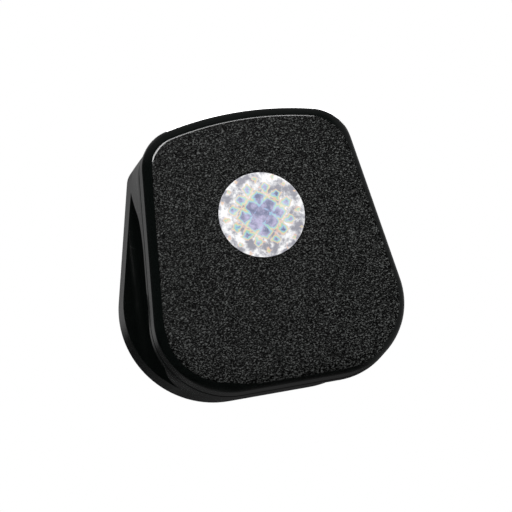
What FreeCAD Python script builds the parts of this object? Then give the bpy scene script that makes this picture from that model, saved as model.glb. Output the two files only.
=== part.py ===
import FreeCAD, Part
import math
import os

# A rewireable three-pin mains plug, fused on the line side, drawn as it stands in a wall socket.
# X runs to the right and Z up as seen from the cover, and the pins point along +Y.
# The origin is on the engagement face, midway between the line and neutral pins. All sizes in mm.

V = FreeCAD.Vector
AHEAD = V(0, 1, 0)
UP = V(0, 0, 1)
RIGHT = V(1, 0, 0)

# Fits between pieces, and how far a cutting shape runs past what it cuts
slip = 0.1
hair = 0.03
seat_gap = 0.3
overrun = 1.0

# Pins and their places
pin_pitch = 22.23
blade_width = 6.35
blade_height = 3.97
blade_reach = 17.7
earth_width = 3.97
earth_height = 7.92
earth_reach = 22.73
tip_chamfer = 1.1
sleeve_reach = 9.5
sleeve_root = 1.5
sleeve_wall = 0.6

# Body, front to back
body_depth = 30.0
cover_rim = 6.0
shoulder = 2.2
flange_thickness = 5.5
floor_thickness = 4.0
wall = 2.2
face_edge_radius = 2.35
rear_edge_chamfer = 0.6
lip_height = 1.6
lip_thickness = 1.2
parting_chamfer = 0.35

# Outlines, seen from the cover
crown_room = 5.0
crown_radius = 65.0
corner_radius = 8.0
face_half_width = 23.9
face_taper = 7.0
face_foot = -20.8
face_foot_radius = 14.6
flange_rise = 1.0
flange_corner_radius = 4.0
flange_half_width = 27.6
flange_draft = 0.45
flange_taper = 15.1
flange_foot = -17.5
flange_foot_radius = 18.4

# Finger grips
waist_half_width = 19.6
waist_taper = 5.0
waist_foot = -20.0
waist_foot_radius = 14.0
grip_rear_fillet = 4.5
grip_front_chamfer = 1.5
grip_top_rear = 26.6
grip_top_front = 15.8
grip_top_bend = 6.0
grip_foot_rear = -14.9
grip_foot_front = -12.7

# Hollow inside the base
cavity_half_width = 16.0
cavity_taper = 1.0
cavity_corner_radius = 4.0
cavity_foot_radius = 8.0

# Label
label_radius = 8.39
label_height = 12.1
label_thickness = 0.25

# Cover screw, its washer and its insert
screw_height = 9.0
screw_radius = 1.75
screw_head_radius = 3.2
screw_head_height = 2.2
screw_reach = 16.5
counterbore_depth = 3.2
washer_thickness = 0.5
boss_radius = 4.2
base_boss_top = 13.0
boss_gap = 0.2
insert_radius = 2.6
insert_length = 8.0
slot_width = 0.9
slot_depth = 1.0
screw_edge = 0.3

# Terminals
live_head_width = 8.2
head_depth = 12.0
neutral_head_height = 8.0
earth_head_width = 7.5
earth_head_height = 9.0
line_head_depth = 3.0
line_head_height = 7.4
line_block_width = 7.2
line_block_depth = 11.0
line_block_height = 5.6
line_block_gap = 0.5
tongue_thickness = 1.0
tongue_rest_width = 3.6
wire_hole_radius = 2.0
wire_hole_depth = 7.4
terminal_edge = 0.6
terminal_screw_radius = 1.75
terminal_head_radius = 2.2
terminal_head_height = 1.9
terminal_screw_reach = 4.2
pocket_wall = 1.2
pocket_height = 7.5
low_pocket_height = 3.0
hold_rib = 1.2
rib_height = 3.0

# Fuse and its clips
fuse_length = 25.4
fuse_radius = 3.175
fuse_cap_length = 6.0
fuse_cap_wall = 0.3
fuse_bore = 1.9
element_radius = 0.2
clip_thickness = 0.6
clip_length = 5.0
clip_mouth = 70.0
clip_foot_width = 6.4

# Cord grip and cord entry
entry_radius = 4.3
entry_depth = 10.5
entry_collar = 1.6
entry_collar_end = -13.7
grip_bar_height = -9.5
grip_screw_spread = 10.4
grip_post_radius = 3.0
grip_post_top = 9.0
grip_bar_width = 6.5
grip_bar_thickness = 2.4
grip_screw_radius = 1.5
grip_screw_head_radius = 2.7
grip_screw_head_height = 1.8
grip_screw_reach = 7.0
saddle_thickness = 1.6
saddle_gap = 3.2

# Sizes of the terminals, and places worked out from the sizes above
neutral_head = V(live_head_width, head_depth, neutral_head_height)
earth_head = V(earth_head_width, head_depth, earth_head_height)
line_head = V(live_head_width, line_head_depth, line_head_height)
line_block = V(line_block_width, line_block_depth, line_block_height)
face_y = -body_depth
parting_y = face_y + cover_rim
floor_y = -floor_thickness
line_x = pin_pitch / 2
fuse_y = floor_y - line_head.y - clip_thickness - fuse_radius - hair
fuse_low = -fuse_cap_length / 2
fuse_high = fuse_low + fuse_length
upper_clip_z = fuse_high - fuse_cap_length / 2
line_block_z = fuse_high + line_block_gap + line_block.z / 2
crown = line_block_z + line_block.z / 2 + crown_room
flange_crown = crown + flange_rise
wire_y = floor_y - wire_hole_depth
cavity_foot = flange_foot + wall
mouth_foot = face_foot + wall

FACE = dict(half_width=face_half_width, taper=face_taper, top=crown, top_radius=crown_radius,
            corner=corner_radius, foot=face_foot, foot_radius=face_foot_radius)
FLANGE = dict(FACE, half_width=flange_half_width, taper=flange_taper, top=flange_crown,
              corner=flange_corner_radius, foot=flange_foot, foot_radius=flange_foot_radius)
FLANGE_FRONT = dict(FLANGE, half_width=flange_half_width - flange_draft)
WAIST = dict(FACE, half_width=waist_half_width, taper=waist_taper, foot=waist_foot,
             foot_radius=waist_foot_radius)
CAVITY = dict(FACE, half_width=cavity_half_width, taper=cavity_taper, top=crown - wall,
              top_radius=crown_radius - wall, corner=cavity_corner_radius, foot=cavity_foot,
              foot_radius=cavity_foot_radius)
MOUTH = dict(CAVITY, foot=mouth_foot)


def outline(form, y, inset=0.0):
    """Closed wire: a crowned top, tapered sides and a flat foot, all joined by tangent arcs."""
    lean = math.radians(form["taper"])
    side = V(math.cos(lean), 0, math.sin(lean))
    climb = V(-math.sin(lean), 0, math.cos(lean))
    on_side = V(form["half_width"], 0, 0) - side * inset
    crown_r = form["top_radius"] - inset
    corner_r = form["corner"] - inset
    foot_r = form["foot_radius"] - inset
    top_z, foot_z = form["top"] - inset, form["foot"] + inset
    hub = V(0, 0, top_z - crown_r)

    start = on_side - side * corner_r - hub
    along = start.dot(climb)
    rise = -along + math.sqrt(along ** 2 - start.dot(start) + (crown_r - corner_r) ** 2)
    corner = hub + start + climb * rise
    outward = (corner - hub).normalize()
    foot_hub_z = foot_z + foot_r
    foot_x = (on_side.x * math.cos(lean) - foot_r - foot_hub_z * math.sin(lean)) / math.cos(lean)
    foot = V(foot_x, 0, foot_hub_z)

    crown_end = hub + outward * crown_r
    corner_mid = corner + (outward + side).normalize() * corner_r
    side_top = corner + side * corner_r
    side_low = foot + side * foot_r
    foot_mid = foot + (side - UP).normalize() * foot_r
    foot_end = foot - UP * foot_r

    def left(p):
        return V(-p.x, p.y, p.z)

    edges = [Part.Arc(left(crown_end), V(0, 0, top_z), crown_end),
             Part.Arc(crown_end, corner_mid, side_top),
             Part.LineSegment(side_top, side_low),
             Part.Arc(side_low, foot_mid, foot_end),
             Part.LineSegment(foot_end, left(foot_end)),
             Part.Arc(left(foot_end), left(foot_mid), left(side_low)),
             Part.LineSegment(left(side_low), left(side_top)),
             Part.Arc(left(side_top), left(corner_mid), left(crown_end))]
    wire = Part.Wire([edge.toShape() for edge in edges])
    wire.translate(AHEAD * y)
    return wire


def prism(form, y_from, y_to, inset=0.0):
    """Straight solid of one outline between two depths."""
    return Part.Face(outline(form, y_from, inset)).extrude(AHEAD * (y_to - y_from))


def blend(form_a, y_a, form_b, y_b):
    """Solid drawn straight from one outline to another."""
    return Part.makeLoft([outline(form_a, y_a), outline(form_b, y_b)], True, True)


def block(x, y, z, size):
    """Box centred on x and z, growing from y towards the cover."""
    return Part.makeBox(size.x, size.y, size.z, V(x - size.x / 2, y - size.y, z - size.z / 2))


def rod(radius, x, z, y_from, y_to):
    """Cylinder along Y between two depths."""
    low, high = min(y_from, y_to), max(y_from, y_to)
    return Part.makeCylinder(radius, high - low, V(x, low, z), AHEAD)


def edges_at(shape, y):
    """The edges that lie wholly at one depth."""
    box_of = [(edge, edge.BoundBox) for edge in shape.Edges]
    return [edge for edge, box in box_of if abs(box.YMin - y) < 1e-4 and abs(box.YMax - y) < 1e-4]


def mirrored(shape):
    """The same shape on the other side of the plug."""
    return shape.mirror(V(0, 0, 0), RIGHT)


def slotted_screw(x, z, seat_y, radius, reach, head_radius, head_height, facing):
    """Cheese-head screw seated at one depth, its head towards +Y or -Y by facing."""
    tip_y = seat_y - facing * reach
    head_y = seat_y + facing * head_height
    body = rod(radius, x, z, tip_y, seat_y).fuse(rod(head_radius, x, z, seat_y, head_y))
    body = body.removeSplitter()
    body = body.makeChamfer(screw_edge, edges_at(body, head_y))
    slot_floor = max(head_y, head_y - facing * slot_depth)
    return body.cut(block(x, slot_floor, z, V(3 * head_radius, slot_depth, slot_width)))


def grip_cutter():
    """The right finger grip: a recess down to the waist, its top edge climbing to the flange."""
    front, rear = parting_y + shoulder, -flange_thickness
    far = 2 * crown
    recess = block(0, rear, 0, V(2 * far, rear - front, 2 * far)).cut(prism(WAIST, front, rear))
    rear_rim = [edge for edge in edges_at(recess, rear) if edge.Length < far]
    recess = recess.makeFillet(grip_rear_fillet, rear_rim)
    front_rim = [edge for edge in edges_at(recess, front) if edge.Length < far]
    recess = recess.makeChamfer(grip_front_chamfer, front_rim)
    depth = AHEAD * (rear - front)
    rise = (depth + UP * (grip_top_rear - grip_top_front)).normalize()
    fall = (depth + UP * (grip_foot_rear - grip_foot_front)).normalize()
    bend = V(0, front, grip_top_front)
    low, high = bend - UP * grip_top_bend, bend + rise * grip_top_bend
    half_turn = math.acos(rise.z) / 2
    bend_radius = grip_top_bend / math.tan(half_turn)
    turn = bend + (rise - UP).normalize() * (bend_radius / math.cos(half_turn) - bend_radius)
    foot = V(0, front, grip_foot_front)
    top_end, foot_end = bend + rise * far, foot + fall * far
    side_view = [Part.LineSegment(foot, low), Part.Arc(low, turn, high), Part.LineSegment(high, top_end),
                 Part.LineSegment(top_end, foot_end), Part.LineSegment(foot_end, foot)]
    wire = Part.Wire([edge.toShape() for edge in side_view])
    return recess.common(Part.Face(wire).extrude(RIGHT * far))


def pocket(x, z, size, height):
    """Wall round three sides of a terminal, open towards the foot where its wire comes in."""
    reach = slip + pocket_wall
    outer = block(x, floor_y, z, V(size.x + 2 * reach, height, size.z + 2 * reach))
    room = V(size.x + 2 * slip, height, size.z + reach + slip)
    return outer.cut(block(x, floor_y, z - pocket_wall / 2, room))


def base():
    """Deep moulding that carries the pins: body, waist, flange, pockets, posts and cord entry."""
    body = prism(FACE, parting_y, parting_y + shoulder)
    body = body.fuse(blend(FACE, parting_y + shoulder, FLANGE_FRONT, -flange_thickness))
    body = body.fuse(blend(FLANGE_FRONT, -flange_thickness, FLANGE, 0)).removeSplitter()
    body = body.makeChamfer(rear_edge_chamfer, edges_at(body, 0))
    body = body.makeChamfer(parting_chamfer, edges_at(body, parting_y))
    collar = cord_collar().common(body)
    grip = grip_cutter()
    body = body.cut(grip).cut(mirrored(grip))
    body = body.cut(blend(CAVITY, floor_y, MOUTH, parting_y))
    lip_inset = wall + slip
    lip = prism(FACE, parting_y, parting_y - lip_height, lip_inset)
    lip = lip.cut(prism(FACE, parting_y, parting_y - lip_height, lip_inset + lip_thickness))
    body = body.fuse([lip, collar] + base_insides())
    return body.cut(base_holes()).removeSplitter()


def base_insides():
    """Pockets, posts, ribs and saddle that stand on the floor inside the base."""
    wall_x = line_x - fuse_radius - clip_thickness - 2 * pocket_wall
    wall_low, wall_high = line_head.z / 2, pin_pitch - earth_head.z / 2
    partition = V(pocket_wall, neutral_head.y, wall_high - wall_low)
    tongue_rib = V(tongue_rest_width, line_head.y - tongue_thickness, clip_length)
    saddle = V(2 * grip_screw_spread, grip_post_top - saddle_gap - floor_thickness, saddle_thickness)
    return [pocket(-line_x, 0, neutral_head, pocket_height),
            pocket(0, pin_pitch, earth_head, pocket_height),
            pocket(line_x, 0, line_head, low_pocket_height),
            pocket(line_x, line_block_z, line_block, low_pocket_height),
            block(wall_x, floor_y, (wall_low + wall_high) / 2, partition),
            block(line_x, floor_y, upper_clip_z, tongue_rib),
            block(0, floor_y, grip_bar_height, saddle),
            rod(boss_radius, 0, screw_height, floor_y, -base_boss_top),
            rod(grip_post_radius, grip_screw_spread, grip_bar_height, floor_y, -grip_post_top),
            rod(grip_post_radius, -grip_screw_spread, grip_bar_height, floor_y, -grip_post_top)]


def cord_collar():
    """Collar that carries the cord entry through the foot wall."""
    return Part.makeCylinder(entry_radius + entry_collar, entry_collar_end - face_foot,
                             V(0, -entry_depth, face_foot), UP)


def base_holes():
    """Slots for the pins, the screw holes and the cord entry."""
    blade_slot = V(blade_width + 2 * slip, 2 * floor_thickness, blade_height + 2 * slip)
    earth_slot = V(earth_width + 2 * slip, 2 * floor_thickness, earth_height + 2 * slip)
    pilot_end = grip_screw_reach - grip_bar_thickness + slip - grip_post_top
    cord_path = Part.makeCylinder(entry_radius, entry_collar_end - face_foot,
                                  V(0, -entry_depth, face_foot), UP)
    holes = [block(side * line_x, overrun, 0, blade_slot) for side in (-1, 1)]
    holes += [rod(grip_screw_radius + hair, side * grip_screw_spread, grip_bar_height,
                  -grip_post_top, pilot_end) for side in (-1, 1)]
    holes += [block(0, overrun, pin_pitch, earth_slot),
              rod(screw_head_radius + 2 * slip, 0, screw_height, overrun, -counterbore_depth),
              rod(screw_radius + slip, 0, screw_height, 0, -base_boss_top),
              cord_path]
    return holes


def cover():
    """Front plate with a deep rim, its label recess, insert boss and holding ribs."""
    inner_y = face_y + wall
    plate = prism(FACE, parting_y, face_y)
    plate = plate.makeFillet(face_edge_radius, edges_at(plate, face_y))
    plate = plate.makeChamfer(parting_chamfer, edges_at(plate, parting_y))
    plate = plate.cut(prism(FACE, parting_y, inner_y, wall))
    boss_end = -base_boss_top - boss_gap
    plate = plate.fuse([rod(boss_radius, 0, screw_height, inner_y, boss_end)] + cover_ribs(inner_y))
    recess_end = face_y + label_thickness
    plate = plate.cut([rod(label_radius + slip, 0, label_height, face_y - overrun, recess_end),
                       rod(insert_radius + hair, 0, screw_height, boss_end - insert_length, boss_end)])
    return plate.removeSplitter()


def cover_ribs(inner_y):
    """Stiffening ribs across the plate, and tall ribs that hold the terminals and the fuse down."""
    across = V(2 * face_half_width, rib_height, hold_rib)
    upright = V(hold_rib, rib_height, crown - face_foot)
    seat = inner_y + rib_height
    inside_lip = prism(FACE, seat, inner_y, wall + lip_thickness + 2 * slip)
    ribs = [block(0, seat, screw_height, across), block(0, seat, (crown + face_foot) / 2, upright)]
    ribs = [rib.common(inside_lip) for rib in ribs]
    held = [(-line_x, 0, neutral_head), (0, pin_pitch, earth_head), (line_x, line_block_z, line_block)]
    for x, z, size in held:
        top = floor_y - size.y - seat_gap
        reach = top - inner_y
        for side in (-1, 1):
            rib_x = x + side * (size.x - hold_rib) / 2
            ribs.append(block(rib_x, top, z, V(hold_rib, reach, size.z / 2)))
    fuse_space = Part.makeCylinder(fuse_radius + seat_gap, fuse_length, V(line_x, fuse_y, fuse_low), UP)
    for part in (1 / 3, 2 / 3):
        rib_z = fuse_low + fuse_length * part
        ribs.append(block(line_x, fuse_y, rib_z, V(fuse_radius * 2, fuse_y - inner_y, hold_rib))
                    .cut(fuse_space))
    return ribs


def label_disc():
    """Thin round label, flush in the cover."""
    return rod(label_radius, 0, label_height, face_y, face_y + label_thickness)


def blade(width, height, reach, x, z):
    """Plain rectangular pin with a chamfered tip, from the floor out to its reach."""
    pin = block(x, reach, z, V(width, reach + floor_thickness, height))
    return pin.makeChamfer(tip_chamfer, edges_at(pin, reach))


def sleeve_space(x, size_cut):
    """Box of the sleeved stretch of a blade, drawn in by size_cut on each side."""
    size = V(blade_width - 2 * size_cut, sleeve_reach + sleeve_root, blade_height - 2 * size_cut)
    return block(x, sleeve_reach, 0, size)


def sleeve(x):
    """Insulating sleeve, flush with the blade it is moulded on."""
    return sleeve_space(x, 0).cut(sleeve_space(x, sleeve_wall))


def terminal(x, z, size, wire_axis):
    """Brass terminal block with a wire hole across it and a screw hole from the cover side."""
    body = block(x, floor_y, z, size)
    upright = [edge for edge in body.Edges if edge.BoundBox.YLength > size.y / 2]
    body = body.makeFillet(terminal_edge, upright)
    reach = max(size.x, size.z)
    wire = Part.makeCylinder(wire_hole_radius, 2 * reach, V(x, wire_y, z) - wire_axis * reach, wire_axis)
    screw_way = rod(terminal_screw_radius + hair, x, z, wire_y, floor_y - size.y)
    return body.cut([wire, screw_way])


def neutral_pin():
    """Neutral blade with its terminal block, necked for the sleeve."""
    pin = blade(blade_width, blade_height, blade_reach, -line_x, 0).cut(sleeve(-line_x))
    return pin.fuse(terminal(-line_x, 0, neutral_head, UP)).removeSplitter()


def line_pin():
    """Line blade, necked for the sleeve, with a low head that carries the fuse clip."""
    pin = blade(blade_width, blade_height, blade_reach, line_x, 0).cut(sleeve(line_x))
    return pin.fuse(block(line_x, floor_y, 0, line_head)).removeSplitter()


def earth_pin():
    """Longer solid earth pin with its terminal block."""
    pin = blade(earth_width, earth_height, earth_reach, 0, pin_pitch)
    return pin.fuse(terminal(0, pin_pitch, earth_head, UP)).removeSplitter()


def line_terminal():
    """Line terminal block with the tongue that carries the upper fuse clip."""
    tongue_low = upper_clip_z - clip_length / 2
    tongue = V(clip_length, tongue_thickness, line_block_z - tongue_low)
    tongue_y = floor_y - line_head.y + tongue_thickness
    body = terminal(line_x, line_block_z, line_block, RIGHT)
    return body.fuse(block(line_x, tongue_y, tongue_low + tongue.z / 2, tongue)).removeSplitter()


def fuse_clip(z):
    """Sprung clip: a foot and two curved arms with rolled lips, open towards the cover."""
    inner = fuse_radius + hair
    outer = inner + clip_thickness
    low = V(line_x, fuse_y, z - clip_length / 2)
    bore = Part.makeCylinder(inner, clip_length, low, UP)
    arms = Part.makeCylinder(outer, clip_length, low, UP).cut(bore)
    half = math.radians(clip_mouth / 2)
    left = V(-math.sin(half), -math.cos(half), 0)
    right = V(math.sin(half), -math.cos(half), 0)
    fan = Part.makePolygon([low, low + left * 2 * outer, low + right * 2 * outer, low])
    arms = arms.cut(Part.Face(fan).extrude(UP * clip_length))
    foot_size = V(clip_foot_width, clip_thickness, clip_length)
    foot = block(line_x, floor_y - line_head.y, z, foot_size)
    foot = foot.cut(bore)
    lips = [Part.makeCylinder(clip_thickness, clip_length, low + way * (outer + clip_thickness / 2), UP)
            for way in (left, right)]
    return arms.fuse([foot] + lips).removeSplitter()


def fuse_cap(end_z, inward):
    """Pressed metal end cap of the fuse."""
    low = min(end_z, end_z + inward * fuse_cap_length)
    cap = Part.makeCylinder(fuse_radius, fuse_cap_length, V(line_x, fuse_y, low), UP)
    rim = [edge for edge in cap.Edges if abs(edge.BoundBox.ZMax + edge.BoundBox.ZMin - 2 * end_z) < 1e-4]
    cap = cap.makeChamfer(fuse_cap_wall / 2, rim)
    hollow = Part.makeCylinder(fuse_radius - fuse_cap_wall, fuse_cap_length,
                               V(line_x, fuse_y, low + inward * fuse_cap_wall), UP)
    return cap.cut(hollow)


def fuse_barrel():
    """Ceramic tube of the fuse."""
    low = V(line_x, fuse_y, fuse_low + fuse_cap_wall)
    length = fuse_length - 2 * fuse_cap_wall
    tube = Part.makeCylinder(fuse_radius - fuse_cap_wall - hair, length, low, UP)
    return tube.cut(Part.makeCylinder(fuse_bore, length, low, UP))


def fuse_element():
    """Fine wire that runs through the fuse from cap to cap."""
    low = V(line_x, fuse_y, fuse_low + fuse_cap_wall)
    return Part.makeCylinder(element_radius, fuse_length - 2 * fuse_cap_wall, low, UP)


def cord_grip_bar():
    """Clamp bar across the cord, hollowed in the middle, with a screw hole at each end."""
    low, high = -grip_post_top, -grip_post_top - grip_bar_thickness
    half = grip_bar_width / 2
    bar = block(0, low, grip_bar_height, V(2 * grip_screw_spread, grip_bar_thickness, grip_bar_width))
    ends = [rod(half, side * grip_screw_spread, grip_bar_height, low, high) for side in (-1, 1)]
    holes = [rod(grip_screw_radius + slip, side * grip_screw_spread, grip_bar_height, low, high)
             for side in (-1, 1)]
    cord_y = low + entry_radius + grip_bar_thickness / 2
    cord = Part.makeCylinder(entry_radius + grip_bar_thickness, 2 * grip_bar_width,
                             V(0, cord_y, grip_bar_height - grip_bar_width), UP)
    return bar.fuse(ends).removeSplitter().cut(holes + [cord])


def cord_grip_screws():
    """The two screws of the clamp bar."""
    seat = -grip_post_top - grip_bar_thickness
    screws = [slotted_screw(side * grip_screw_spread, grip_bar_height, seat, grip_screw_radius,
                            grip_screw_reach, grip_screw_head_radius, grip_screw_head_height, -1)
              for side in (-1, 1)]
    return Part.makeCompound(screws)


def terminal_screw(x, z, size):
    """Clamping screw seated on a terminal block."""
    return slotted_screw(x, z, floor_y - size.y, terminal_screw_radius, terminal_screw_reach,
                         terminal_head_radius, terminal_head_height, -1)


def cover_screw():
    """Long screw that draws the cover down, its head sunk in the engagement face."""
    return slotted_screw(0, screw_height, washer_thickness - counterbore_depth, screw_radius, screw_reach,
                         screw_head_radius, screw_head_height, 1)


def ring(outer, inner, x, z, y_from, y_to):
    """Tube along Y between two depths."""
    return rod(outer, x, z, y_from, y_to).cut(rod(inner, x, z, y_from, y_to))


def main():
    os.makedirs("parts", exist_ok=True)
    boss_end = -base_boss_top - boss_gap
    nodes = {
        "base": base(),
        "cover": cover(),
        "label_disc": label_disc(),
        "cover_insert": ring(insert_radius, screw_radius + hair, 0, screw_height,
                             boss_end, boss_end - insert_length),
        "cover_screw": cover_screw(),
        "screw_washer": ring(screw_head_radius, screw_radius + slip, 0, screw_height,
                             -counterbore_depth, washer_thickness - counterbore_depth),
        "neutral_pin": neutral_pin(),
        "neutral_sleeve": sleeve(-line_x),
        "neutral_screw": terminal_screw(-line_x, 0, neutral_head),
        "line_pin": line_pin(),
        "line_sleeve": sleeve(line_x),
        "line_terminal": line_terminal(),
        "line_screw": terminal_screw(line_x, line_block_z, line_block),
        "earth_pin": earth_pin(),
        "earth_screw": terminal_screw(0, pin_pitch, earth_head),
        "lower_fuse_clip": fuse_clip(0),
        "upper_fuse_clip": fuse_clip(upper_clip_z),
        "fuse_barrel": fuse_barrel(),
        "lower_fuse_cap": fuse_cap(fuse_low, 1),
        "upper_fuse_cap": fuse_cap(fuse_high, -1),
        "fuse_element": fuse_element(),
        "cord_grip_bar": cord_grip_bar(),
        "cord_grip_screws": cord_grip_screws(),
    }
    for name, shape in nodes.items():
        shape.exportStep("parts/" + name + ".step")
        print(name, shape.isValid(), len(shape.Solids), round(shape.Volume, 2))


main()
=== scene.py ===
import bmesh
import bpy
import math
from mathutils import Matrix, Vector


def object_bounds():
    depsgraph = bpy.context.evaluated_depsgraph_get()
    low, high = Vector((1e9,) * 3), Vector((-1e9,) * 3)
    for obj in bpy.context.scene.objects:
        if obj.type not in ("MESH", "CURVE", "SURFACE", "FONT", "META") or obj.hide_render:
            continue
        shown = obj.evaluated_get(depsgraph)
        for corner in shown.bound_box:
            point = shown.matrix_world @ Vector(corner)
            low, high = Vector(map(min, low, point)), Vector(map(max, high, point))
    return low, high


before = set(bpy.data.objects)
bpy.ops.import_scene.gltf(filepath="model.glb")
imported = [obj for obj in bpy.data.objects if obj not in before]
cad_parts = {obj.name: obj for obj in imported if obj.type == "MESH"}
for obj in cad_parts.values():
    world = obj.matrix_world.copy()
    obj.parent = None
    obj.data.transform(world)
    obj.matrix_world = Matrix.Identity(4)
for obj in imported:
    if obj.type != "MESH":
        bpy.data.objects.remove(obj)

cad_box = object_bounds()
scene = bpy.context.scene
scene.view_settings.view_transform = "Standard"


# Camera: a long lens to the left of the plug and below it, a little rolled. It looks at the middle
# of the cover, which is set slightly off the middle of the frame.
look_at = Vector((0, -0.030, 0.0085))
turn_left, look_up, roll = math.radians(11.52), math.radians(12.10), math.radians(11.96)
distance = 0.6667
frame_px = 512
px_per_m = 5222
middle_px = (265.57, 232.54)
sensor_mm = 36
ahead = Vector((math.sin(turn_left) * math.cos(look_up), math.cos(turn_left) * math.cos(look_up),
                math.sin(look_up)))
level = Vector((math.cos(turn_left), -math.sin(turn_left), 0))
upright = level.cross(ahead)
right = level * math.cos(roll) - upright * math.sin(roll)
up = level * math.sin(roll) + upright * math.cos(roll)
lens = bpy.data.cameras.new("photo_view")
lens.sensor_width = sensor_mm
lens.lens = sensor_mm * px_per_m * distance / frame_px
lens.shift_x = (frame_px / 2 - middle_px[0]) / frame_px
lens.shift_y = (middle_px[1] - frame_px / 2) / frame_px
camera = bpy.data.objects.new("photo_view", lens)
scene.collection.objects.link(camera)
turn = Matrix((right, up, -ahead)).transposed().to_4x4()
camera.matrix_world = Matrix.Translation(look_at - ahead * distance) @ turn
scene.camera = camera


# Room: a plain white backdrop in an even light, with soft boxes in front of the plug and behind it.
# Polished black would look grey in so much white, so what gloss mirrors is a dim graded studio,
# nearly dark on the camera's side and grey behind, to the right, overhead and just below level.
white = (1, 1, 1, 1)
backdrop_level = 1.0
even_level = 0.56
# Bands of what gloss mirrors: where each starts and ends along one axis of the direction, and the
# level, or the share of the level, at its two ends.
front_to_back = (-0.8, 0.6, 0.02, 0.19)
level_to_low = (-0.05, -0.21, 0.2, 0.4)
low_on_left = (-0.14, -0.24, 1.0, 0.48)
low_to_high = (0.08, 0.22)
far_left = (-0.6, -0.35, 0.08, 1.0)
middle_to_left = (-0.10, -0.24, 0.74, 1.45)
to_the_right = (0.25, 0.8, 0.0, 0.24)
overhead = (0.35, 0.9, 0.0, 0.16)


def put(tree, kind, inputs=(), **settings):
    """Adds a node, makes its settings, and fills or links its input sockets."""
    made = tree.nodes.new("ShaderNode" + kind)
    for name, value in settings.items():
        setattr(made, name, value)
    for socket, value in dict(inputs).items():
        if isinstance(value, bpy.types.NodeSocket):
            tree.links.new(value, made.inputs[socket])
        else:
            made.inputs[socket].default_value = value
    return made


def work(tree, operation, *values):
    """One step of arithmetic on numbers or sockets."""
    return put(tree, "Math", dict(enumerate(values)), operation=operation).outputs[0]


def ramp(tree, value, start, end, low=0.0, high=1.0, curve="LINEAR"):
    """Goes from low to high while the value goes from start to end, and stays level beyond."""
    return put(tree, "MapRange", {"Value": value, "From Min": start, "From Max": end,
                                  "To Min": low, "To Max": high},
               interpolation_type=curve).outputs["Result"]


def ease(tree, value, start, end, low=0.0, high=1.0):
    """A ramp with soft ends."""
    return ramp(tree, value, start, end, low, high, "SMOOTHSTEP")


room = bpy.data.worlds.new("studio")
room.use_nodes = True
tree = room.node_tree
tree.nodes.clear()
ray = put(tree, "LightPath")
aim = put(tree, "SeparateXYZ", {0: put(tree, "TexCoord").outputs["Generated"]})
aim_x, aim_y, aim_z = aim.outputs["X"], aim.outputs["Y"], aim.outputs["Z"]
low_share = work(tree, "MULTIPLY", ramp(tree, aim_z, *level_to_low),
                 ease(tree, aim_x, *low_on_left))
mirrored = ease(tree, aim_y, *front_to_back)
for share in (ease(tree, aim_z, *low_to_high, low_share, 1.0), ease(tree, aim_x, *far_left),
              ease(tree, aim_x, *middle_to_left)):
    mirrored = work(tree, "MULTIPLY", mirrored, share)
for band in (ease(tree, aim_x, *to_the_right), ease(tree, aim_z, *overhead)):
    mirrored = work(tree, "MAXIMUM", mirrored, band)
seen = work(tree, "MAXIMUM", ray.outputs["Is Camera Ray"], ray.outputs["Is Transmission Ray"])
soft = put(tree, "Background", {"Color": white, "Strength": even_level})
gloss = put(tree, "Background", {"Color": white, "Strength": mirrored})
plain = put(tree, "Background", {"Color": white, "Strength": backdrop_level})
lit = put(tree, "MixShader", {0: ray.outputs["Is Glossy Ray"], 1: soft.outputs[0],
                              2: gloss.outputs[0]})
shown = put(tree, "MixShader", {0: seen, 1: lit.outputs[0], 2: plain.outputs[0]})
put(tree, "OutputWorld", {"Surface": shown.outputs[0]})
scene.world = room


def soft_box(name, place, width, height, watts):
    """Area lamp that faces the plug."""
    light = bpy.data.lights.new(name, "AREA")
    light.shape = "RECTANGLE"
    light.size, light.size_y = width, height
    light.energy = watts
    lamp = bpy.data.objects.new(name, light)
    scene.collection.objects.link(lamp)
    lamp.location = place
    lamp.rotation_euler = (look_at - Vector(place)).to_track_quat("-Z", "Y").to_euler()


soft_box("box_front", place=(0.0, -0.585, 0.28), width=0.35, height=0.07, watts=1.5)
soft_box("box_side", place=(-0.105, -0.60, 0.2255), width=0.06, height=0.07, watts=0.17)
soft_box("box_behind", place=(0.25, 0.55, 0.45), width=0.40, height=0.30, watts=2.5)


# Floor: a sheet of pale paper just under the cover's foot. It only shows from above, because the
# camera looks from below it, and it keeps the plug's shadow there. Gloss doesn't mirror it.
floor_gap = 0.0001
floor_reach = 1.5
paper_white = (0.86, 0.86, 0.85, 1)
paper_roughness = 0.9

plan = bmesh.new()
bmesh.ops.create_grid(plan, x_segments=1, y_segments=1, size=floor_reach)
bmesh.ops.translate(plan, verts=plan.verts, vec=(0, 0, cad_box[0][2] - floor_gap))
sheet = bpy.data.meshes.new("floor")
plan.to_mesh(sheet)
plan.free()
floor = bpy.data.objects.new("floor", sheet)
scene.collection.objects.link(floor)
paper = bpy.data.materials.new("pale_floor")
paper.use_nodes = True
tree = paper.node_tree
matt = tree.nodes["Principled BSDF"]
matt.inputs["Base Color"].default_value = paper_white
matt.inputs["Roughness"].default_value = paper_roughness
clear = put(tree, "BsdfTransparent")
hidden = work(tree, "MAXIMUM", put(tree, "NewGeometry").outputs["Backfacing"],
              put(tree, "LightPath").outputs["Is Glossy Ray"])
one_sided = put(tree, "MixShader", {0: hidden, 1: matt.outputs[0], 2: clear.outputs[0]})
tree.links.new(one_sided.outputs[0], tree.nodes["Material Output"].inputs["Surface"])
sheet.materials.append(paper)


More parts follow.
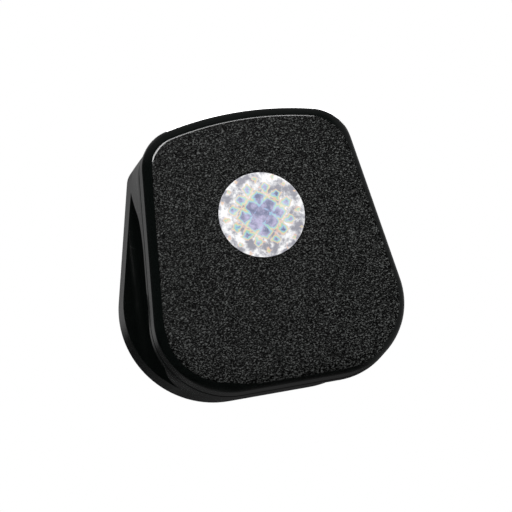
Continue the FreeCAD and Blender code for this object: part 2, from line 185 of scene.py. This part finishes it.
# Base: a deep moulding in black urea plastic, polished by its tool, so its sides mirror the room.
# They are faintly wavy, with soft smears from handling and a few hair scratches.
moulding_black = (0.0028, 0.0038, 0.0035, 1)
side_specular = 0.32
gloss_roughness, clean_roughness, smeared_roughness, scratch_roughness = 0.1, 0.06, 0.12, 0.25
smear_scale, smear_edge = 90.0, (0.42, 0.72)
scratch_scale, scratch_width = 260.0, 0.012
scratch_wander_scale, scratch_wander = 35.0, 0.02
scratch_patch_scale, scratch_patch_edge = 240.0, (0.6, 0.68)
wave_scale, wave_strength, wave_height = 240.0, 0.25, 0.00006


def new_finish(name, color, roughness, metallic=0.0, specular=0.5):
    """Material with a Principled shader; returns it with its tree, shader and coordinates."""
    made = bpy.data.materials.new(name)
    made.use_nodes = True
    tree = made.node_tree
    shader = tree.nodes["Principled BSDF"]
    shader.inputs["Base Color"].default_value = color
    shader.inputs["Roughness"].default_value = roughness
    shader.inputs["Metallic"].default_value = metallic
    shader.inputs["Specular IOR Level"].default_value = specular
    return made, tree, shader, put(tree, "TexCoord").outputs["Object"]


def effect(name, inputs, outputs):
    """Empty node group with named inputs and outputs."""
    group = bpy.data.node_groups.new(name, "ShaderNodeTree")
    for label, kind in inputs.items():
        group.interface.new_socket(label, in_out="INPUT", socket_type="NodeSocket" + kind)
    for label, kind in outputs.items():
        group.interface.new_socket(label, in_out="OUTPUT", socket_type="NodeSocket" + kind)
    start = group.nodes.new("NodeGroupInput")
    end = group.nodes.new("NodeGroupOutput")
    return group, start, end


def wire(tree, node, sources):
    """Links sockets to a node's inputs."""
    for socket, source in sources.items():
        tree.links.new(source, node.inputs[socket])


def clouds(tree, place, scale, detail=2.0, roughness=0.5, distortion=0.0):
    """Cloudy pattern from 0 to 1."""
    return put(tree, "TexNoise", {"Vector": place, "Scale": scale, "Detail": detail,
                                  "Roughness": roughness, "Distortion": distortion}).outputs["Fac"]


def relief(tree, height, strength, distance, **under):
    """Bump, over the one under it where there is one."""
    return put(tree, "Bump", {"Height": height, "Strength": strength, "Distance": distance,
                              **under}).outputs["Normal"]


def dress(material, *names):
    """Gives CAD nodes their finish."""
    for name in names:
        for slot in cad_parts[name].material_slots:
            slot.material = material


handling, start, end = effect("handling", {"Vector": "Vector", "Smear Scale": "Float",
                                           "Scratch Scale": "Float"},
                              {"Smear": "Float", "Scratch": "Float"})
place = start.outputs["Vector"]
grease = clouds(handling, place, start.outputs["Smear Scale"], detail=4.0, roughness=0.55,
                distortion=0.6)
wander = put(handling, "TexNoise", {"Vector": place, "Scale": scratch_wander_scale, "Detail": 2.0})
drift = put(handling, "VectorMath", {0: wander.outputs["Color"], 1: (scratch_wander,) * 3},
            operation="MULTIPLY")
moved = put(handling, "VectorMath", {0: place, 1: drift.outputs[0]}, operation="ADD")
cells = put(handling, "TexVoronoi", {"Vector": moved.outputs[0],
                                     "Scale": start.outputs["Scratch Scale"]},
            feature="DISTANCE_TO_EDGE")
patch = clouds(handling, place, scratch_patch_scale, detail=1.0)
scratch = work(handling, "MULTIPLY", ramp(handling, cells.outputs["Distance"], scratch_width, 0.0),
               ramp(handling, patch, *scratch_patch_edge))
wire(handling, end, {"Smear": ease(handling, grease, *smear_edge), "Scratch": scratch})


def gloss_black(name, specular):
    """Polished black moulding; returns what new_finish does, its roughness and its wavy normal."""
    made, tree, shader, place = new_finish(name, moulding_black, gloss_roughness, specular=specular)
    marks = put(tree, "Group", {"Vector": place, "Smear Scale": smear_scale,
                                "Scratch Scale": scratch_scale}, node_tree=handling)
    rough = ramp(tree, marks.outputs["Smear"], 0.0, 1.0, clean_roughness, smeared_roughness)
    worn = work(tree, "MULTIPLY_ADD", marks.outputs["Scratch"], scratch_roughness, rough)
    wavy = relief(tree, clouds(tree, place, wave_scale, detail=1.0), wave_strength, wave_height)
    return made, tree, shader, place, worn, wavy


shell, tree, shader, place, rough, wavy = gloss_black("black_moulding_gloss", side_specular)
wire(tree, shader, {"Roughness": rough, "Normal": wavy})
dress(shell, "base")


# Cover: the same black moulding, with a worm-like leather grain etched into the flat of its face
# and a polished round edge. At the top the grain stops where the face starts to bend, and elsewhere
# it runs on over part of the edge, most of all at the foot.
face_y = cad_box[0][1]
face_specular = 0.14
grain_scale, grain_squeeze, grain_depth = 2800.0, (1.0, 1.0, 1.6), 0.0005
grain_edge, grain_distortion = (0.42, 0.62), 0.9
sway_scale, sway_share = 0.24, 0.25
# The grain's colour is painted light: painted shade in its pits and a painted sheen on its ridges,
# on a moulding that is black throughout.
grain_pit_painted_shade, grain_ridge_painted_sheen, grain_shade_and_sheen_range = (0.0, 0.0, 0.0, 1), (0.108, 0.113, 0.110, 1), (0.53, 1.22)
grain_roughness = 0.36
edge_coat, edge_coat_roughness = 0.4, 0.07
# How far back from the face the grain runs on, and where along the edge it starts to.
foot_overrun, foot_start, foot_along = 0.00055, (-0.0160, -0.0178), (-0.016, -0.004)
right_overrun, right_start, right_along = 0.00022, (0.011, 0.016), (0.028, 0.021)
left_overrun, left_start = 0.00008, (-0.0180, -0.0200)
corner_overrun, corner_start = 0.00023, (-0.027, -0.036)
fade_start, fade_end, overrun_fade = 0.000002, 0.00001, 0.5

leather, start, end = effect("leather_grain", {"Vector": "Vector", "Scale": "Float"},
                             {"Height": "Float"})
place, scale = start.outputs["Vector"], start.outputs["Scale"]
worms = ease(leather, clouds(leather, place, scale, detail=1.0, distortion=grain_distortion),
             *grain_edge)
sway = clouds(leather, place, work(leather, "MULTIPLY", scale, sway_scale))
wire(leather, end, {"Height": work(leather, "MULTIPLY_ADD", sway, sway_share, worms)})

skin, tree, shader, place, rough, wavy = gloss_black("black_moulding_grained", face_specular)
axes = put(tree, "SeparateXYZ", {0: place})
across, back, height = axes.outputs["X"], axes.outputs["Y"], axes.outputs["Z"]
over_foot = work(tree, "MULTIPLY", ease(tree, height, *foot_start, 0.0, -foot_overrun),
                 ease(tree, across, *foot_along))
over_right = work(tree, "MULTIPLY", ease(tree, across, *right_start, 0.0, -right_overrun),
                  ease(tree, height, *right_along))
over_left = ease(tree, across, *left_start, 0.0, -left_overrun)
over_corner = ease(tree, work(tree, "ADD", across, height), *corner_start, 0.0, -corner_overrun)
overrun = work(tree, "MINIMUM", work(tree, "MINIMUM", over_foot, over_right),
               work(tree, "MINIMUM", over_left, over_corner))
flat = ease(tree, work(tree, "ADD", overrun, back), face_y + fade_start,
            work(tree, "MULTIPLY_ADD", overrun, -overrun_fade, face_y + fade_end), 1.0, 0.0)
squeezed = put(tree, "VectorMath", {0: place, 1: grain_squeeze}, operation="MULTIPLY")
grain = put(tree, "Group", {"Vector": squeezed.outputs[0], "Scale": grain_scale}, node_tree=leather)


def tint(tree, share, first, second):
    """Colour between two, by a mask."""
    return put(tree, "Mix", {0: share, 6: first, 7: second}, data_type="RGBA").outputs[2]


# Painted shade in the grain's pits and a painted sheen on its ridges, by the grain's height.
grain_shade_and_sheen = tint(tree, ramp(tree, grain.outputs["Height"], *grain_shade_and_sheen_range), grain_pit_painted_shade, grain_ridge_painted_sheen)
matter = put(tree, "Mix", {0: flat, 2: rough, 3: grain_roughness}, data_type="FLOAT")
etched = work(tree, "MULTIPLY", grain.outputs["Height"], flat)
wire(tree, shader, {"Base Color": tint(tree, flat, moulding_black, grain_shade_and_sheen),
                    "Roughness": matter.outputs[0],
                    "Coat Weight": ramp(tree, flat, 0.0, 1.0, edge_coat, 0.0),
                    "Normal": relief(tree, etched, 1.0, grain_depth, Normal=wavy)})
shader.inputs["Coat Roughness"].default_value = edge_coat_roughness
dress(skin, "cover")


# Label: round silver foil with an embossed diffraction pattern, pressed flush into its recess. The
# pattern is a plain lattice of diamonds, lilac near the middle, that turn silver through a thin
# rainbow edge, with cloudy white and grey patches of painted reflection over it.
label_centre, label_radius = (0.0, 0.0, 0.0121), 0.00839
foil_silver, foil_roughness, foil_metallic = (0.8, 0.8, 0.86, 1), 0.35, 0.1
lattice_step, lattice_slope = 0.0036, 0.9
stir_scale, stir_reach = 420.0, 0.0014
middle_level, rim_level = 0.86, 0.14
reflection_patch_scale, reflection_patch_share = 380.0, 0.35
fray_scale, fray_share = 1500.0, 0.3
reflection_bright_edge, reflection_white_edge, rainbow_edge = (0.38, 0.68), (0.40, 0.60), (0.22, 0.50)
silver_painted_dark, silver_painted_light = (0.30, 0.30, 0.35, 1), (0.95, 0.95, 0.96, 1)
lilac_painted_dark, lilac_painted_light = (0.17, 0.19, 0.31, 1), (0.56, 0.52, 0.74, 1)
reflection_white, reflection_white_share = (0.92, 0.92, 0.93, 1), 0.36
rainbow = [(0.0, (0.84, 0.80, 0.83, 1)), (0.18, (0.82, 0.48, 0.40, 1)),
           (0.34, (0.72, 0.66, 0.36, 1)), (0.50, (0.38, 0.64, 0.44, 1)),
           (0.66, (0.30, 0.62, 0.66, 1)), (0.84, (0.30, 0.40, 0.72, 1)),
           (1.0, (0.46, 0.48, 0.70, 1))]
rainbow_outer, rainbow_inner = 0.2, 0.8
facet_scale, facet_strength, facet_height = 2600.0, 0.4, 0.00004

foil, tree, shader, place = new_finish("label_foil", foil_silver, foil_roughness, foil_metallic)
centred = put(tree, "Mapping", {"Vector": place, "Location": -Vector(label_centre)})
flat_way = put(tree, "VectorMath", {0: centred.outputs[0], 1: (1, 0, 1)}, operation="MULTIPLY")
spot = flat_way.outputs[0]
axes = put(tree, "SeparateXYZ", {0: spot})
across, height = axes.outputs["X"], axes.outputs["Z"]
stir = work(tree, "MULTIPLY_ADD", clouds(tree, spot, stir_scale), stir_reach, -stir_reach / 2)
rising = work(tree, "ADD", work(tree, "ADD", across, height), stir)
falling = work(tree, "SUBTRACT", across, height)
diamond = work(tree, "MAXIMUM", work(tree, "PINGPONG", rising, lattice_step / 2),
               work(tree, "PINGPONG", falling, lattice_step / 2))
radius = put(tree, "VectorMath", {0: spot}, operation="LENGTH").outputs["Value"]
inward = ramp(tree, radius, 0.0, label_radius, middle_level, rim_level)
# Cloudy patches of painted reflection on the foil: they lighten and darken the silver and the lilac
# and lay white over the rainbow.
reflection_patches = clouds(tree, spot, reflection_patch_scale, detail=5.0, roughness=0.66, distortion=0.25)
fray = work(tree, "SUBTRACT", clouds(tree, spot, fray_scale), 0.5)
filling = work(tree, "MULTIPLY_ADD", diamond, -lattice_slope / lattice_step, inward)
for change, share in ((reflection_patches, reflection_patch_share), (fray, fray_share)):
    filling = work(tree, "MULTIPLY_ADD", change, share, filling)
reflection_bright = ease(tree, reflection_patches, *reflection_bright_edge)
reflected_silver = tint(tree, ease(tree, reflection_patches, *reflection_white_edge), silver_painted_dark, silver_painted_light)
reflected_lilac = tint(tree, reflection_bright, lilac_painted_dark, lilac_painted_light)
hue = ramp(tree, filling, *rainbow_edge)
colours = put(tree, "ValToRGB", {0: hue})
stops = colours.color_ramp.elements
while len(stops) < len(rainbow):
    stops.new(0.5)
for stop, (position, colour) in zip(stops, rainbow):
    stop.position = position
    stop.color = colour
reflection_whitened = tint(tree, ramp(tree, reflection_bright, 0.0, 1.0, 0.0, reflection_white_share), colours.outputs[0], reflection_white)
edged = tint(tree, ramp(tree, hue, 0.0, rainbow_outer), reflected_silver, reflection_whitened)
filled = tint(tree, ramp(tree, hue, rainbow_inner, 1.0), edged, reflected_lilac)
facets = put(tree, "TexVoronoi", {"Vector": spot, "Scale": facet_scale})
wire(tree, shader, {"Base Color": filled,
                    "Normal": relief(tree, facets.outputs["Distance"], facet_strength,
                                     facet_height)})
dress(foil, "label_disc")


# Pins and terminals: drawn brass, milled to size, with fine lines along the blades and a thin brown
# tarnish in patches. The neutral and earth blocks are one with their pins, while the line block
# stands apart, with the fuse between. The cover's screw runs into a brass insert.
brass_yellow, brass_roughness, brass_metallic = (0.92, 0.67, 0.28, 1), 0.25, 0.8
brass_clean, brass_brown = (0.95, 0.70, 0.29, 1), (0.70, 0.45, 0.17, 1)
line_scale, line_edge, line_roughness = (5200, 60, 5200), (0.3, 0.7), (0.2, 0.27)
line_strength, line_height = 0.1, 0.00001
tarnish_scale, tarnish_edge, tarnish_share = 160.0, (0.45, 0.75), 0.35

brass, tree, shader, place = new_finish("brass", brass_yellow, brass_roughness, brass_metallic)
drawn = put(tree, "Mapping", {"Vector": place, "Scale": line_scale})
streak = clouds(tree, drawn.outputs[0], 1.0, detail=3.0)
tarnish = ease(tree, clouds(tree, place, tarnish_scale, detail=5.0, distortion=0.7), *tarnish_edge,
               0.0, tarnish_share)
wire(tree, shader, {"Base Color": tint(tree, tarnish, brass_clean, brass_brown),
                    "Roughness": ramp(tree, streak, *line_edge, *line_roughness),
                    "Normal": relief(tree, streak, line_strength, line_height)})
dress(brass, "line_pin", "neutral_pin", "earth_pin", "line_terminal", "cover_insert")


# Sleeves: black nylon, moulded round the necked part of the two live blades and flush with them.
# Their tool leaves a fine satin.
nylon_black, nylon_mean_roughness, nylon_specular = (0.016, 0.016, 0.017, 1), 0.42, 0.4
nylon_roughness = (0.38, 0.5)
satin_scale, satin_strength, satin_height = 3800.0, 0.4, 0.00002

nylon, tree, shader, place = new_finish("sleeve_nylon", nylon_black, nylon_mean_roughness,
                                        specular=nylon_specular)
marks = put(tree, "Group", {"Vector": place, "Smear Scale": smear_scale,
                            "Scratch Scale": scratch_scale}, node_tree=handling)
wire(tree, shader, {"Roughness": ramp(tree, marks.outputs["Smear"], 0.0, 1.0, *nylon_roughness),
                    "Normal": relief(tree, clouds(tree, place, satin_scale), satin_strength,
                                     satin_height)})
dress(nylon, "line_sleeve", "neutral_sleeve")


# Screws and washer: turned steel with a zinc plating, which dulls the turning marks to a fine grain
# and is a little cloudy. They clamp the wires, the cord bar and the cover.
zinc_grey, zinc_mean_roughness, zinc_metallic = (0.62, 0.63, 0.65, 1), 0.3, 0.85
zinc_light, zinc_dark, zinc_cloud_scale = (0.70, 0.71, 0.73, 1), (0.50, 0.51, 0.53, 1), 420.0
turned_scale, turned_edge, zinc_roughness = 2600.0, (0.3, 0.7), (0.24, 0.42)
turned_strength, turned_height = 0.3, 0.00002

zinc, tree, shader, place = new_finish("zinc_steel", zinc_grey, zinc_mean_roughness, zinc_metallic)
turned = clouds(tree, place, turned_scale)
cloudy = clouds(tree, place, zinc_cloud_scale, detail=3.0)
wire(tree, shader, {"Base Color": tint(tree, cloudy, zinc_light, zinc_dark),
                    "Roughness": ramp(tree, turned, *turned_edge, *zinc_roughness),
                    "Normal": relief(tree, turned, turned_strength, turned_height)})
dress(zinc, "cover_screw", "screw_washer", "neutral_screw", "line_screw", "earth_screw",
      "cord_grip_screws")


# Fuse clips: rolled phosphor bronze strip, bent to shape and welded to the head of the line pin and
# the tongue of its terminal. Rolling leaves fine lines, and welding a little colour.
bronze_brown, bronze_roughness, bronze_metallic = (0.70, 0.45, 0.26, 1), 0.32, 0.85
bronze_light, bronze_dark = (0.78, 0.52, 0.31, 1), (0.55, 0.33, 0.19, 1)
rolled_scale = (300, 300, 5200)

bronze, tree, shader, place = new_finish("spring_bronze", bronze_brown, bronze_roughness,
                                         bronze_metallic)
rolled = put(tree, "Mapping", {"Vector": place, "Scale": rolled_scale})
lines = clouds(tree, rolled.outputs[0], 1.0, detail=3.0)
wire(tree, shader, {"Base Color": tint(tree, lines, bronze_light, bronze_dark)})
dress(bronze, "lower_fuse_clip", "upper_fuse_clip")


# Fuse: a tube of glazed steatite with a fine tinned wire through it, and nickel plated brass caps
# crimped on its ends. The two clips hold it by the caps.
steatite_cream, glaze_roughness = (0.80, 0.77, 0.68, 1), 0.22
steatite_light, steatite_dark, speck_scale = (0.84, 0.81, 0.73, 1), (0.72, 0.68, 0.58, 1), 900.0
nickel_silver, nickel_mean_roughness = (0.72, 0.70, 0.66, 1), 0.18
haze_scale, nickel_roughness = 700.0, (0.12, 0.3)

steatite, tree, shader, place = new_finish("fuse_steatite", steatite_cream, glaze_roughness)
specks = clouds(tree, place, speck_scale, detail=4.0)
wire(tree, shader, {"Base Color": tint(tree, specks, steatite_light, steatite_dark)})
dress(steatite, "fuse_barrel")
nickel, tree, shader, place = new_finish("nickel_plate", nickel_silver, nickel_mean_roughness,
                                         metallic=1.0)
haze = clouds(tree, place, haze_scale, detail=3.0)
wire(tree, shader, {"Roughness": ramp(tree, haze, 0.0, 1.0, *nickel_roughness)})
dress(nickel, "lower_fuse_cap", "upper_fuse_cap", "fuse_element")


# Cord clamp: a bar punched from pressed brown fibre board, with the board's short strands along it.
# Its two screws draw it down over the saddle in the base.
fibre_brown, fibre_roughness, fibre_specular = (0.20, 0.10, 0.05, 1), 0.65, 0.3
fibre_dark, fibre_light = (0.15, 0.07, 0.035, 1), (0.30, 0.17, 0.09, 1)
strand_scale, strand_strength, strand_height = (700, 2600, 2600), 0.5, 0.00005

fibre, tree, shader, place = new_finish("pressed_fibre", fibre_brown, fibre_roughness,
                                        specular=fibre_specular)
strands = put(tree, "Mapping", {"Vector": place, "Scale": strand_scale})
felt = clouds(tree, strands.outputs[0], 1.0, detail=4.0, distortion=0.8)
wire(tree, shader, {"Base Color": tint(tree, felt, fibre_dark, fibre_light),
                    "Normal": relief(tree, felt, strand_strength, strand_height)})
dress(fibre, "cord_grip_bar")
